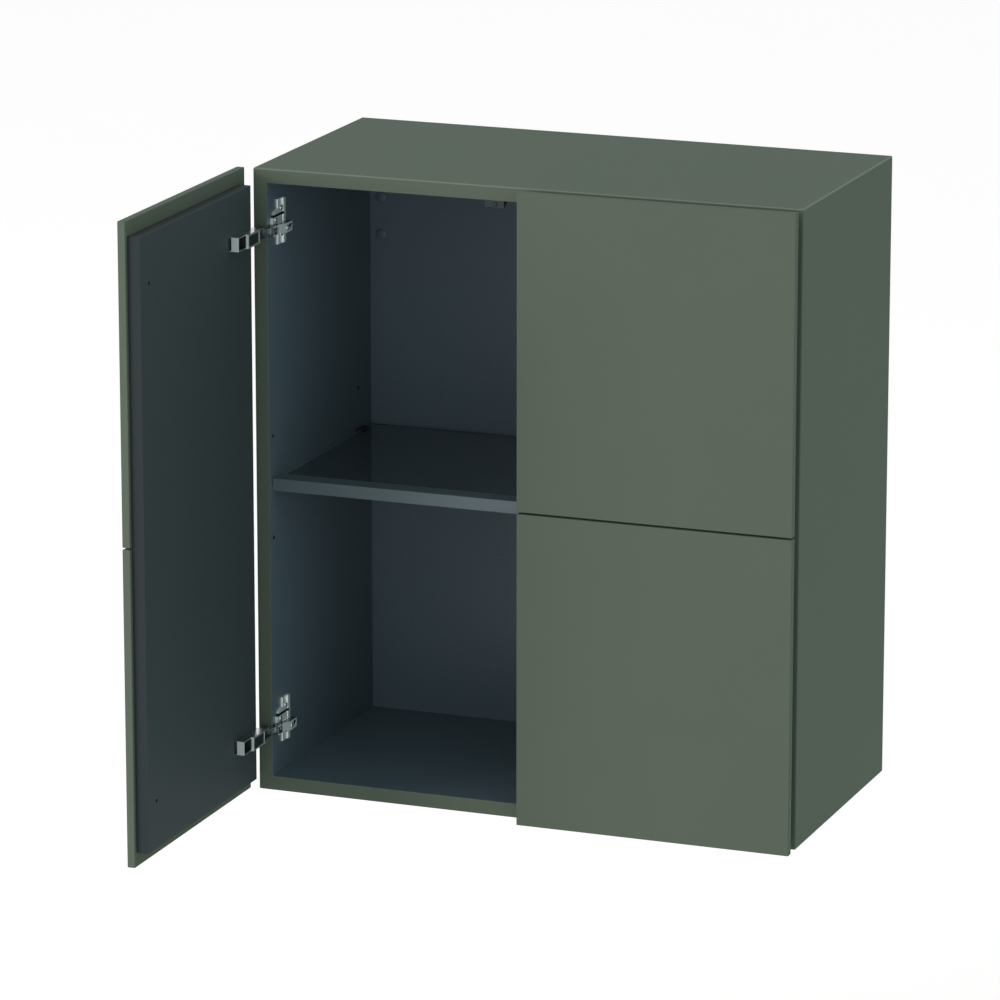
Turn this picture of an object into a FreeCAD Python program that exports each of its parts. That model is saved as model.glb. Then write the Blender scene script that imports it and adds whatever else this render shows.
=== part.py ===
import FreeCAD, Part
import math
import os
from types import SimpleNamespace

import Sketcher

# A wall-hung bathroom cabinet with two doors and no handles. Millimetres, +Z up, the front faces -Y.
# The origin lies on the wall, at the centre of the four wall screws.
# "Across" is measured inwards from the carcass side, "back" from the carcass front edge towards the wall,
# and "drop" down from the carcass top. On a door, "along" is measured from the inner panel's hinge edge
# and "proud" from its inner face. The left door rests open and the right door rests closed.

# Driving dimensions: name, value, meaning
SIZES = [
    ("width", 700, "carcass outside width"),
    ("height", 785, "carcass outside height"),
    ("depth", 348, "carcass from the wall to its front edge"),
    ("board", 18, "carcass board thickness"),
    ("fixing_drop", 146, "centre of the wall screws, drop"),
    ("back_front", 329, "back panel front face, back"),
    ("back_thick", 6, "back panel thickness"),
    ("groove", 6, "depth of the boards' groove for the back panel"),

    ("door_gap", 1, "inner panel to carcass front edge"),
    ("inner_thick", 16, "door inner panel thickness"),
    ("tile_thick", 10, "door front tile thickness"),
    ("tile_slit", 2.5, "gap between upper and lower tile"),
    ("tile_bevel", 0.6, "bevel round a tile's front"),
    ("middle_gap", 3, "gap between the two doors"),
    ("inner_inset", 18.5, "inner panel's hinge edge, across"),
    ("inner_drop", 18, "inner panel's top edge below the tile's"),
    ("free_inset", 5, "inner panel's free edge behind the tile's"),
    ("left_open", 90, "opening angle of the left door at rest, degrees"),
    ("right_open", 0, "opening angle of the right door at rest, degrees"),
    ("axis_across", 2.75, "axis that a door turns about, across"),
    ("axis_ahead", 3.25, "axis that a door turns about, ahead of the carcass"),
    ("spare_radius", 2.5, "radius of the spare holes in an inner panel"),
    ("spare_inset", 25, "spare holes from the free edge"),
    ("spare_deep", 10, "depth of the spare holes"),

    ("hinge_inset", 77.5, "hinge centre from the carcass top or bottom"),
    ("plate_line", 37, "line of the hinge plate's screws, back"),
    ("plate_half_width", 10, "half width of the plate's wings"),
    ("plate_tall", 56, "height of the plate's wings"),
    ("plate_lift", 6.5, "centre of the plate and its screws above the hinge centre"),
    ("plate_thin", 2.5, "plate thickness in front of its step"),
    ("plate_thick", 4.5, "plate thickness behind its step"),
    ("plate_step", 12.5, "step from the plate's front edge"),
    ("plate_bevel", 0.6, "bevel on the plate's front edge and step"),
    ("head_ease", 0.4, "seat of a plate screw round its head"),
    ("seat_rise", 6.4, "arm seat on the plate above the side panel"),
    ("seat_front", 22, "arm seat's front end, back"),
    ("seat_back", 44, "arm seat's rear end, back"),
    ("seat_tall", 12, "height of the arm seat"),
    ("cam_radius", 17, "radius of the plate's half-round cam guide"),
    ("cam_back", 26, "centre of the cam guide, back"),
    ("cam_thick", 3.4, "thickness of the cam guide"),
    ("cam_lift", 6.3, "foot of the cam guide above the hinge centre"),
    ("slot_low", 14.2, "foot of the cam slot above the hinge centre"),
    ("slot_high", 17.6, "top of the cam slot above the hinge centre"),
    ("slot_back", 43, "rear end of the cam slot, back"),
    ("slot_floor", 1.2, "plate left under the cam slot"),
    ("plate_screw_pitch", 32, "between a plate's two screws"),
    ("plate_screw_radius", 1.9, "plate screw shank"),
    ("plate_screw_deep", 12, "plate screw in the side panel"),
    ("plate_head_radius", 3.3, "plate screw head"),
    ("plate_head_high", 1.8, "plate screw head height"),
    ("hole_ease", 0.1, "screw hole radius over the shank"),

    ("pivot_across", 23, "lever pivot on the arm, across"),
    ("pivot_back", 4.5, "lever pivot on the arm, back"),
    ("pivot_radius", 2, "lever pivot pin"),
    ("pivot_run", 0.05, "radial clearance of the lever on its pin"),
    ("pivot_seat", 0.03, "radial clearance of the pin in the arm"),
    ("pivot_stick", 0.5, "pivot pin's ends out of the arm's ears"),
    ("ear_reach", 4.1, "arm's ears round the pivot, to each side and ahead"),
    ("ear_cut", 2.4, "corner cut off the ears beside the wall"),
    ("ear_nip", 0.8, "corner cut off the ears beside the door"),
    ("arm_tall", 12, "arm channel, outside height"),
    ("arm_sheet", 1.5, "arm channel wall"),
    ("arm_top", 32, "arm channel's web over the seat, across"),
    ("arm_back", 45, "arm channel's rear end, back"),
    ("ramp_low_front", 16, "start of the arm's wall-side ramp, back"),
    ("ramp_low_back", 22, "end of the arm's wall-side ramp, back"),
    ("ramp_high_front", 19, "start of the arm's web ramp, back"),
    ("ramp_high_back", 26, "end of the arm's web ramp, back"),
    ("fork_back", 11, "arm web ends here and leaves a fork, back"),
    ("window_front", 34.6, "clip window in the arm's web, front corner, back"),
    ("window_foot", 37, "clip window's foot, back"),
    ("window_back", 43.2, "clip window's rear corner, back"),
    ("window_high", 3.4, "top of the clip window above the hinge centre"),
    ("window_low", 4, "foot of the clip window below the hinge centre"),
    ("adjuster_back", 30, "side adjusting screw in the arm, back"),
    ("cam_screw_back", 19.5, "height adjusting screw in the cam guide, back"),
    ("cam_screw_lift", 10.2, "height adjusting screw above the hinge centre"),
    ("adjuster_radius", 2.3, "adjusting screw shank"),
    ("adjuster_head", 3.3, "adjusting screw head"),
    ("adjuster_high", 1.4, "adjusting screw head height"),

    ("lever_start", 9, "lever channel from the pivot"),
    ("lever_end", 38.5, "lever channel's free end from the pivot"),
    ("lever_web", 5.1, "lever channel's web below the pivot, door closed"),
    ("lever_low", 14.6, "lever channel's flange edges below the pivot"),
    ("lever_tall", 13, "lever channel, outside height"),
    ("lever_sheet", 1.3, "lever channel wall"),
    ("eye_radius", 3.6, "lever's eye round the pivot, squared towards the door"),
    ("eye_tall", 8.4, "height of the lever's eye and neck"),
    ("neck_turn", 5.5, "where the neck's underside starts to fall"),
    ("neck_low", 3.6, "neck's underside there, below the pivot"),
    ("neck_high", 1.4, "neck's upper side at the eye, below the pivot"),
    ("neck_end", 16, "neck's end on the lever channel"),
    ("roller_along", 34.5, "roller from the pivot"),
    ("roller_low", 10, "roller below the pivot, door closed"),
    ("roller_radius", 2.4, "roller"),

    ("cup_start", 5, "cup's near wall, along"),
    ("cup_end", 46, "cup's far wall, along"),
    ("cup_deep", 10.5, "cup depth in the inner panel"),
    ("cup_sheet", 0.8, "cup trough wall"),
    ("cup_tall", 17.4, "cup, outside height"),
    ("cup_side", 1.2, "cup side wall and rim"),
    ("cup_rise", 16.3, "bridge over the cup, proud"),
    ("bridge_sheet", 1.5, "thickness of the bridge"),
    ("bridge_start", 11, "bridge's near edge, along"),
    ("bridge_frame", 2.4, "frame left round the bridge's recess"),
    ("bridge_recess", 0.6, "depth of the bridge's recess"),
    ("cheek_cut", 2.2, "corner cut off the cup's side walls"),
    ("tail_end", 68, "end of the cup's open tail, along"),
    ("tail_rise", 13, "tail, proud"),
    ("tail_slot", 3.4, "slot under the tail's end plate, proud"),
    ("cup_screw_near", 51.5, "near cup screw, along"),
    ("cup_screw_far", 61, "far cup screw, along"),
    ("cup_screw_radius", 1.7, "cup screw shank"),
    ("cup_screw_deep", 11, "cup screw in the inner panel"),
    ("cup_head_radius", 3.3, "cup screw head"),
    ("cup_head_high", 1.8, "cup screw head height"),

    ("shelf_drop", 387.7, "shelf rail's top face, drop"),
    ("rail_front", 7, "shelf rail's front face, back"),
    ("rail_tall", 15.5, "shelf rail height"),
    ("rail_deep", 27, "shelf rail's top flange, front to back"),
    ("rail_wall", 1.8, "shelf rail's front wall"),
    ("rail_flange", 2, "shelf rail's top flange thickness"),
    ("rail_lip", 1.5, "shelf rail's lip under the glass, thickness"),
    ("rail_lip_back", 30, "shelf rail's lip, back"),
    ("rail_ease", 1, "shelf rail to side panel"),
    ("glass_thick", 6, "shelf glass"),
    ("glass_ease", 2, "shelf glass to side panel"),
    ("glass_front", 9.5, "shelf glass front edge, back"),
    ("glass_back", 324, "shelf glass rear edge, back"),
    ("peg_radius", 2.5, "shelf pegs and their holes"),
    ("peg_deep", 9, "depth of the shelf holes"),
    ("peg_out", 8, "shelf pin out of the side panel"),
    ("peg_front", 11.4, "front shelf holes, back"),
    ("peg_rear", 286, "rear shelf holes, back"),
    ("peg_step", 64, "spare shelf holes above and below the used ones"),
    ("clip_front", 277, "rear shelf clip's front corner, back"),
    ("clip_shoulder", 285, "rear shelf clip's shoulder, back"),
    ("clip_back", 297, "rear shelf clip's rear face, back"),
    ("clip_out", 9, "rear shelf clip out of the side panel"),
    ("clip_jaw", 2.4, "clip's upper jaw"),
    ("clip_foot", 6, "clip's lower jaw"),
    ("clip_ease", 0.2, "clip's upper jaw to glass"),

    ("hanger_end", 52, "wall hanger's inner edge, across"),
    ("hanger_top", 84, "wall hanger's top, drop"),
    ("hanger_low", 158, "wall hanger's foot, drop"),
    ("hanger_thick", 5.5, "wall hanger body"),
    ("hook_bridge", 6, "height of the bridge that carries the hook"),
    ("hook_low", 108, "hook's tip, drop"),
    ("hook_thick", 2.4, "hook"),
    ("hook_clear", 1.4, "hook to wall"),
    ("tenon_top", 100, "hanger's tenon in the side panel, drop"),
    ("tenon_low", 142, "foot of the hanger's tenon, drop"),
    ("tenon_deep", 10, "depth of the tenon's slot"),
    ("wall_sheet", 2.4, "wall plate base"),
    ("lip_sheet", 2.2, "wall plate lip"),
    ("lip_front", 341.4, "wall plate lip's front face, back"),
    ("jog_top", 112, "wall plate's step, drop"),
    ("wall_plate_low", 170, "wall plate's foot, drop"),
    ("wall_plate_start", 24, "wall plate's outer edge, across"),
    ("wall_plate_end", 60, "wall plate's inner edge, across"),
    ("wall_hole_across", 42, "wall screw holes, across"),
    ("wall_hole_pitch", 32, "between a wall plate's two holes"),
    ("wall_hole_radius", 3.25, "wall screw holes"),

    ("cap_across", 32.4, "hanger screws and their caps, across"),
    ("cap_upper", 97, "upper hanger screw, drop"),
    ("cap_lower", 145, "lower hanger screw, drop"),
    ("cap_radius", 7.5, "cap"),
    ("cap_thick", 1.6, "cap"),
    ("cap_plug", 5.9, "cap's plug radius"),
    ("cap_plug_deep", 2, "cap's plug length"),
    ("cap_hole", 6, "hole in the back panel under a cap"),
    ("hanger_screw_radius", 2.9, "hanger screw shank"),
    ("hanger_screw_head", 4.6, "hanger screw head"),
    ("hanger_screw_high", 3, "hanger screw head height"),

    ("stop_start", 300, "door stop's outer end, across"),
    ("stop_wide", 25, "door stop width"),
    ("stop_tall", 9, "door stop height"),
    ("stop_deep", 14, "door stop, front to back at its top"),
    ("stop_toe", 2, "door stop, front to back at its foot"),
    ("stop_front", 1, "door stop's front face, back"),
    ("pad_radius", 3.4, "door stop pad"),
    ("pad_thick", 1.4, "door stop pad"),
]


# Sizes that carry their own cell arithmetic
class Size:
    """A number together with the cell arithmetic that gives it."""

    def __init__(self, value, text):
        self.value = float(value)
        self.text = text

    def __add__(self, other):
        other = size_of(other)
        return Size(self.value + other.value, f"({self.text} + {other.text})")

    def __sub__(self, other):
        other = size_of(other)
        return Size(self.value - other.value, f"({self.text} - {other.text})")

    def __mul__(self, other):
        other = size_of(other)
        return Size(self.value * other.value, f"({self.text} * {other.text})")

    def __truediv__(self, other):
        other = size_of(other)
        return Size(self.value / other.value, f"({self.text} / {other.text})")

    def __rmul__(self, other):
        return size_of(other) * self

    def __neg__(self):
        return Size(-self.value, f"(-{self.text})")


def size_of(number):
    if isinstance(number, Size):
        return number
    return Size(number, f"({number})")


doc = FreeCAD.newDocument("bathroom_cabinet")
sheet = doc.addObject("Spreadsheet::Sheet", "dims")
for row, (name, value, meaning) in enumerate(SIZES, start=1):
    sheet.set(f"A{row}", name)
    sheet.set(f"B{row}", str(value))
    sheet.setAlias(f"B{row}", name)
    sheet.set(f"C{row}", meaning)
doc.recompute()
d = SimpleNamespace(**{name: Size(value, f"dims.{name}") for name, value, _ in SIZES})

ZERO = Size(0, "0")
TOP = d.fixing_drop
BOTTOM = d.fixing_drop - d.height
LEFT = 1
RIGHT = -1
SIDES = {"left": LEFT, "right": RIGHT}
LEVELS = {"upper": TOP - d.hinge_inset, "lower": BOTTOM + d.hinge_inset}
OPENING = {LEFT: -d.left_open, RIGHT: d.right_open}

# Sides of the small fasteners: a screw's shank and hole, and a screw's head or a plug
SHANK = 6
ROUND = 12

nodes = []


# Building blocks
def bind(thing, place, size):
    thing.setExpression(place, size_of(size).text)


def new_body(label, base=(ZERO, ZERO, ZERO), turn=None):
    """An empty sub-part at base, turned about +Z by turn degrees."""
    body = doc.addObject("PartDesign::Body", label)
    body.Label = label
    if turn is not None:
        body.Placement = FreeCAD.Placement(
            FreeCAD.Vector(), FreeCAD.Rotation(FreeCAD.Vector(0, 0, 1), turn.value))
        bind(body, "Placement.Rotation.Angle", turn)
    for axis, size in zip("xyz", base):
        bind(body, f"Placement.Base.{axis}", size)
    nodes.append(body)
    return body


def new_sketch(body, plane, lift=ZERO):
    """A sketch on one of the body's own origin planes, lifted along that plane's normal."""
    sketch = body.newObject("Sketcher::SketchObject", body.Name + "_sketch")
    support = [feature for feature in body.Origin.OriginFeatures if feature.Role == plane]
    sketch.AttachmentSupport = [(support[0], "")]
    sketch.MapMode = "FlatFace"
    bind(sketch, "AttachmentOffset.Base.z", lift)
    return sketch


def pin_point(sketch, geometry, point, place):
    """Ties a sketch point to its two coordinates."""
    for kind, size in zip(("DistanceX", "DistanceY"), place):
        index = sketch.addConstraint(
            Sketcher.Constraint(kind, -1, 1, geometry, point, size_of(size).value))
        bind(sketch, f"Constraints[{index}]", size)


def trace(sketch, points):
    """Draws a closed outline of straight edges through points."""
    places = [FreeCAD.Vector(size_of(x).value, size_of(y).value, 0) for x, y in points]
    starts = places[-1:] + places[:-1]
    edges = [sketch.addGeometry(Part.LineSegment(start, end), False) for start, end in zip(starts, places)]
    followers = edges[1:] + edges[:1]
    for edge, follower in zip(edges, followers):
        sketch.addConstraint(Sketcher.Constraint("Coincident", edge, 2, follower, 1))
    for edge, place in zip(edges, points):
        pin_point(sketch, edge, 2, place)


def outline(body, plane, points, lift=ZERO):
    sketch = new_sketch(body, plane, lift)
    trace(sketch, points)
    return sketch


def rectangle(body, plane, low, high, lift=ZERO):
    (x0, y0), (x1, y1) = low, high
    return outline(body, plane, [(x0, y0), (x1, y0), (x1, y1), (x0, y1)], lift)


def prisms(body, plane, centres, radius, sides, lift=ZERO):
    """Regular polygons round the centres, for small fasteners and their holes."""
    sketch = new_sketch(body, plane, lift)
    turns = [2 * math.pi * corner / sides for corner in range(sides)]
    for x, y in centres:
        trace(sketch, [(x + radius * round(math.cos(turn), 6), y + radius * round(math.sin(turn), 6))
                       for turn in turns])
    return sketch


def circles(body, plane, centres, radius, lift=ZERO):
    sketch = new_sketch(body, plane, lift)
    for centre in centres:
        place = FreeCAD.Vector(size_of(centre[0]).value, size_of(centre[1]).value, 0)
        circle = Part.Circle(place, FreeCAD.Vector(0, 0, 1), size_of(radius).value)
        index = sketch.addGeometry(circle, False)
        round_tie = sketch.addConstraint(
            Sketcher.Constraint("Radius", index, size_of(radius).value))
        bind(sketch, f"Constraints[{round_tie}]", radius)
        pin_point(sketch, index, 3, centre)
    return sketch


def extrude(body, kind, sketch, length, reverse, symmetric):
    feature = body.newObject(f"PartDesign::{kind}", f"{body.Name}_{kind.lower()}")
    feature.Profile = sketch
    if length is None:
        feature.Type = "ThroughAll"
    else:
        bind(feature, "Length", length)
    feature.SideType = "Symmetric" if symmetric else "One side"
    feature.Reversed = reverse
    doc.recompute()
    return feature


def pad(body, sketch, length, reverse=False, symmetric=False):
    return extrude(body, "Pad", sketch, length, reverse, symmetric)


def pocket(body, sketch, length=None, reverse=False, symmetric=False):
    """Cuts the sketch out of the body, and makes sure that it met the body."""
    before = body.Shape.Volume
    feature = extrude(body, "Pocket", sketch, length, reverse, symmetric)
    if body.Shape.Volume >= before:
        raise ValueError(f"a pocket in {body.Label} cuts nothing")
    return feature


def add_steps(body, plane, centres, steps, side):
    """Alike small fasteners: each step is a count of sides, a lift above the plane, a radius and a length."""
    for sides, lift, radius, length in steps:
        sketch = prisms(body, plane, centres, radius, sides, side * lift)
        pad(body, sketch, length, reverse=side == RIGHT)


def stepped_group(label, plane, centres, steps, base=(ZERO, ZERO, ZERO), turn=None, side=LEFT):
    """A sub-part of alike small fasteners."""
    body = new_body(label, base, turn)
    add_steps(body, plane, centres, steps, side)
    return body


def mirrored(side, points):
    """Points written for the left side, handed to the given side."""
    return [(side * size_of(x), y) for x, y in points]


# Carcass
def carcass_board(label, front_outline, groove_low, groove_high):
    body = new_body(label, (ZERO, -d.depth, ZERO))
    pad(body, outline(body, "XZ_Plane", front_outline), d.depth, reverse=True)
    groove = rectangle(body, "XZ_Plane", groove_low, groove_high, -d.back_front)
    pocket(body, groove, d.back_thick)
    return body


def side_panel(name, side):
    outer = -side * d.width / 2
    inner = -side * (d.width / 2 - d.board)
    bed = -side * (d.width / 2 - d.board + d.groove)
    mitred = [(outer, BOTTOM), (outer, TOP), (inner, TOP - d.board), (inner, BOTTOM + d.board)]
    body = carcass_board(
        f"{name}_side_panel", mitred,
        (bed, BOTTOM + d.board - d.groove), (inner, TOP - d.board + d.groove))
    outwards = side == RIGHT
    pegs = [(back, peg_height(step)) for back in (d.peg_front, d.peg_rear) for step in (-1, 0, 1)]
    pocket(body, prisms(body, "YZ_Plane", pegs, d.peg_radius, ROUND, inner), d.peg_deep, outwards)
    pocket(body, prisms(body, "YZ_Plane", plate_screw_centres(),
                        d.plate_screw_radius + d.hole_ease, SHANK, inner),
           d.plate_screw_deep + d.hole_ease, outwards)
    pocket(body, rectangle(body, "YZ_Plane", *tenon_corners(), lift=inner), d.tenon_deep, outwards)


def flat_panel(label, outer, inwards):
    inner = outer - inwards * d.board
    bed = inner + inwards * d.groove
    half = d.width / 2
    mitred = [(-half, outer), (half, outer), (half - d.board, inner), (d.board - half, inner)]
    reach = half - d.board + d.groove
    return carcass_board(label, mitred, (-reach, inner), (reach, bed))


def back_panel():
    body = new_body("back_panel", (ZERO, -d.depth, ZERO))
    reach = d.width / 2 - d.board + d.groove
    low = (-reach, BOTTOM + d.board - d.groove)
    high = (reach, TOP - d.board + d.groove)
    pad(body, rectangle(body, "XZ_Plane", low, high, -d.back_front), d.back_thick, reverse=True)
    pocket(body, prisms(body, "XZ_Plane", cap_centres(), d.cap_hole, ROUND), symmetric=True)


# Shelf
def peg_height(step):
    """Height of the shelf holes: 0 for the used ones, 1 for the spare ones above, -1 for those below."""
    under_lip = d.shelf_drop + d.rail_flange + d.glass_thick + d.rail_lip
    return TOP - under_lip - d.peg_radius + step * d.peg_step


def shelf_rail():
    body = new_body("shelf_front_rail", (ZERO, -d.depth, TOP - d.shelf_drop))
    inside = d.rail_front + d.rail_wall
    slot_top = -d.rail_flange
    slot_low = slot_top - d.glass_thick
    lip_low = slot_low - d.rail_lip
    section = [
        (d.rail_front, ZERO), (d.rail_front + d.rail_deep, ZERO),
        (d.rail_front + d.rail_deep, slot_top), (inside, slot_top),
        (inside, slot_low), (d.rail_lip_back, slot_low),
        (d.rail_lip_back, lip_low), (inside, lip_low),
        (inside, -d.rail_tall), (d.rail_front, -d.rail_tall)]
    length = d.width - (d.board + d.rail_ease) * 2
    pad(body, outline(body, "YZ_Plane", section), length, symmetric=True)


def shelf_glass():
    body = new_body("shelf_glass", (ZERO, -d.depth, TOP - d.shelf_drop - d.rail_flange))
    half = d.width / 2 - d.board - d.glass_ease
    plan = rectangle(body, "XY_Plane", (-half, d.glass_front), (half, d.glass_back))
    pad(body, plan, d.glass_thick, reverse=True)


def shelf_pins():
    body = new_body("shelf_pins", (ZERO, -d.depth, peg_height(0)))
    inner = d.width / 2 - d.board
    centre = [(d.peg_front, ZERO)]
    for side in SIDES.values():
        wall = -side * inner
        inwards = side == RIGHT
        pad(body, prisms(body, "YZ_Plane", centre, d.peg_radius, ROUND, wall), d.peg_out, inwards)
        pad(body, prisms(body, "YZ_Plane", centre, d.peg_radius, ROUND, wall),
            d.peg_deep - d.hole_ease, not inwards)


def shelf_clips():
    body = new_body("shelf_rear_clips", (ZERO, -d.depth, TOP - d.shelf_drop - d.rail_flange))
    inner = d.width / 2 - d.board
    glass_edge = inner - d.glass_ease
    end = inner - d.clip_out
    roof = d.clip_ease + d.clip_jaw
    floor = d.glass_thick + d.clip_foot
    for side in SIDES.values():
        plan = mirrored(side, [(-inner, d.clip_front), (-end, d.clip_shoulder),
                               (-end, d.clip_back), (-inner, d.clip_back)])
        pad(body, outline(body, "XY_Plane", plan, roof), roof + floor, reverse=True)
        peg = [(d.peg_rear, peg_height(0) - TOP + d.shelf_drop + d.rail_flange)]
        pad(body, prisms(body, "YZ_Plane", peg, d.peg_radius, ROUND, -side * inner),
            d.peg_deep - d.hole_ease, reverse=side == LEFT)
    for side in SIDES.values():
        low, high = mirrored(side, [(-glass_edge, -d.glass_thick), (-end + d.clip_out, d.clip_ease)])
        slot = rectangle(body, "XZ_Plane", low, high)
        pocket(body, slot, symmetric=True)


# Wall fixing
def cap_centres():
    across = d.width / 2 - d.cap_across
    return [(side * across, TOP - drop) for side in (LEFT, RIGHT) for drop in (d.cap_upper, d.cap_lower)]


def tenon_corners():
    face = d.back_front + d.back_thick
    return [(face, TOP - d.tenon_low), (face + d.hanger_thick, TOP - d.tenon_top)]


def hanger(name, side):
    body = new_body(f"{name}_hanger", (-side * (d.width / 2 - d.board), -d.depth, ZERO))
    face = d.back_front + d.back_thick
    spine = face + d.hanger_thick
    hook_back = d.depth - d.hook_clear
    hook_front = hook_back - d.hook_thick
    under = TOP - d.hanger_top - d.hook_bridge
    section = [
        (face, TOP - d.hanger_top), (hook_back, TOP - d.hanger_top),
        (hook_back, TOP - d.hook_low), (hook_front, TOP - d.hook_low),
        (hook_front, under), (spine, under),
        (spine, TOP - d.hanger_low), (face, TOP - d.hanger_low)]
    pad(body, outline(body, "YZ_Plane", section), d.hanger_end - d.board, reverse=side == RIGHT)
    tenon = rectangle(body, "YZ_Plane", *tenon_corners())
    pad(body, tenon, d.tenon_deep - d.hole_ease, reverse=side == LEFT)
    screw_holes = [(side * (d.cap_across - d.board), TOP - drop) for drop in (d.cap_upper, d.cap_lower)]
    pocket(body, prisms(body, "XZ_Plane", screw_holes, d.hanger_screw_radius + d.hole_ease, SHANK, -face),
           d.hanger_thick)


def wall_plate(name, side):
    start = -side * (d.width / 2 - d.wall_plate_start)
    body = new_body(f"{name}_wall_plate", (start, -d.depth, ZERO))
    lip_top = TOP - d.hanger_top - d.hook_bridge
    base_front = d.depth - d.wall_sheet
    lip_back = d.lip_front + d.lip_sheet
    step_top = TOP - d.jog_top
    step_low = step_top - d.wall_sheet
    section = [
        (d.lip_front, lip_top), (lip_back, lip_top), (lip_back, step_top), (d.depth, step_top),
        (d.depth, TOP - d.wall_plate_low), (base_front, TOP - d.wall_plate_low),
        (base_front, step_low), (d.lip_front, step_low)]
    length = d.wall_plate_end - d.wall_plate_start
    pad(body, outline(body, "YZ_Plane", section), length, reverse=side == RIGHT)
    across = side * (d.wall_hole_across - d.wall_plate_start)
    holes = [(across, lift * d.wall_hole_pitch / 2) for lift in (1, -1)]
    pocket(body, circles(body, "XZ_Plane", holes, d.wall_hole_radius), symmetric=True)


def hanger_screws_and_caps():
    base = (ZERO, -d.depth, ZERO)
    face = d.back_front + d.back_thick
    stepped_group("hanger_screws", "XZ_Plane", cap_centres(), [
        (ROUND, -face, d.hanger_screw_head, d.hanger_screw_high),
        (SHANK, -face - d.hanger_thick, d.hanger_screw_radius, d.hanger_thick)], base)
    caps = new_body("hanger_caps", base)
    pad(caps, circles(caps, "XZ_Plane", cap_centres(), d.cap_radius, -d.back_front), d.cap_thick)
    plugs = prisms(caps, "XZ_Plane", cap_centres(), d.cap_plug, ROUND, -d.back_front)
    pad(caps, plugs, d.cap_plug_deep, reverse=True)


# Door stops
def door_stop(name, side):
    start = -side * (d.width / 2 - d.stop_start)
    body = new_body(f"{name}_door_stop", (start, d.stop_front - d.depth, TOP - d.board))
    section = [(ZERO, ZERO), (d.stop_deep, ZERO), (d.stop_toe, -d.stop_tall), (ZERO, -d.stop_tall)]
    pad(body, outline(body, "YZ_Plane", section), d.stop_wide, reverse=side == RIGHT)


def door_stop_pads():
    middle = d.width / 2 - d.stop_start - d.stop_wide / 2
    centres = [(side * middle, -d.stop_tall / 2) for side in (LEFT, RIGHT)]
    stepped_group("door_stop_pads", "XZ_Plane", centres, [(ROUND, ZERO, d.pad_radius, d.pad_thick)],
                  (ZERO, d.stop_front - d.depth, TOP - d.board))


# Hinges: plate, arm and pin on the carcass, lever between, cup on the door
def plate_screw_centres():
    lifts = [level + d.plate_lift + half * d.plate_screw_pitch / 2
             for level in LEVELS.values() for half in (1, -1)]
    return [(d.plate_line, lift) for lift in lifts]


def hinge_plate(label, side, level):
    body = new_body(label, (-side * (d.width / 2 - d.board), -d.depth, level))
    inwards = side == RIGHT
    guide = circles(body, "YZ_Plane", [(d.cam_back, d.cam_lift)], d.cam_radius)
    pad(body, guide, d.cam_thick, inwards)
    below = rectangle(body, "YZ_Plane", (d.cam_back - d.cam_radius, d.cam_lift - d.cam_radius),
                      (d.cam_back + d.cam_radius, d.cam_lift))
    pocket(body, below, d.cam_thick, not inwards)
    front = d.plate_line - d.plate_half_width
    back = d.plate_line + d.plate_half_width
    step = front + d.plate_step
    stepped = mirrored(side, [
        (ZERO, front), (d.plate_thin - d.plate_bevel, front), (d.plate_thin, front + d.plate_bevel),
        (d.plate_thin, step), (d.plate_thick - d.plate_bevel, step), (d.plate_thick, step + d.plate_bevel),
        (d.plate_thick, back), (ZERO, back)])
    pad(body, outline(body, "XY_Plane", stepped, d.plate_lift), d.plate_tall, symmetric=True)
    slot = rectangle(body, "YZ_Plane", (d.cam_back - d.cam_radius, d.slot_low), (d.slot_back, d.slot_high),
                     side * d.slot_floor)
    pocket(body, slot, d.plate_thick, reverse=side == LEFT)
    low, high = mirrored(side, [(ZERO, d.seat_front), (d.seat_rise, d.seat_back)])
    pad(body, rectangle(body, "XY_Plane", low, high), d.seat_tall, symmetric=True)
    screws = [(d.plate_line, d.plate_lift + half * d.plate_screw_pitch / 2) for half in (1, -1)]
    for centres, radius in ((screws, d.plate_screw_radius),
                            ([(d.cam_screw_back, d.cam_screw_lift)], d.adjuster_radius)):
        pocket(body, prisms(body, "YZ_Plane", centres, radius + d.hole_ease, SHANK), symmetric=True)
    seats = prisms(body, "YZ_Plane", screws, d.plate_head_radius + d.head_ease, ROUND, side * d.plate_thin)
    pocket(body, seats, d.plate_thick, reverse=side == LEFT)


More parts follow.
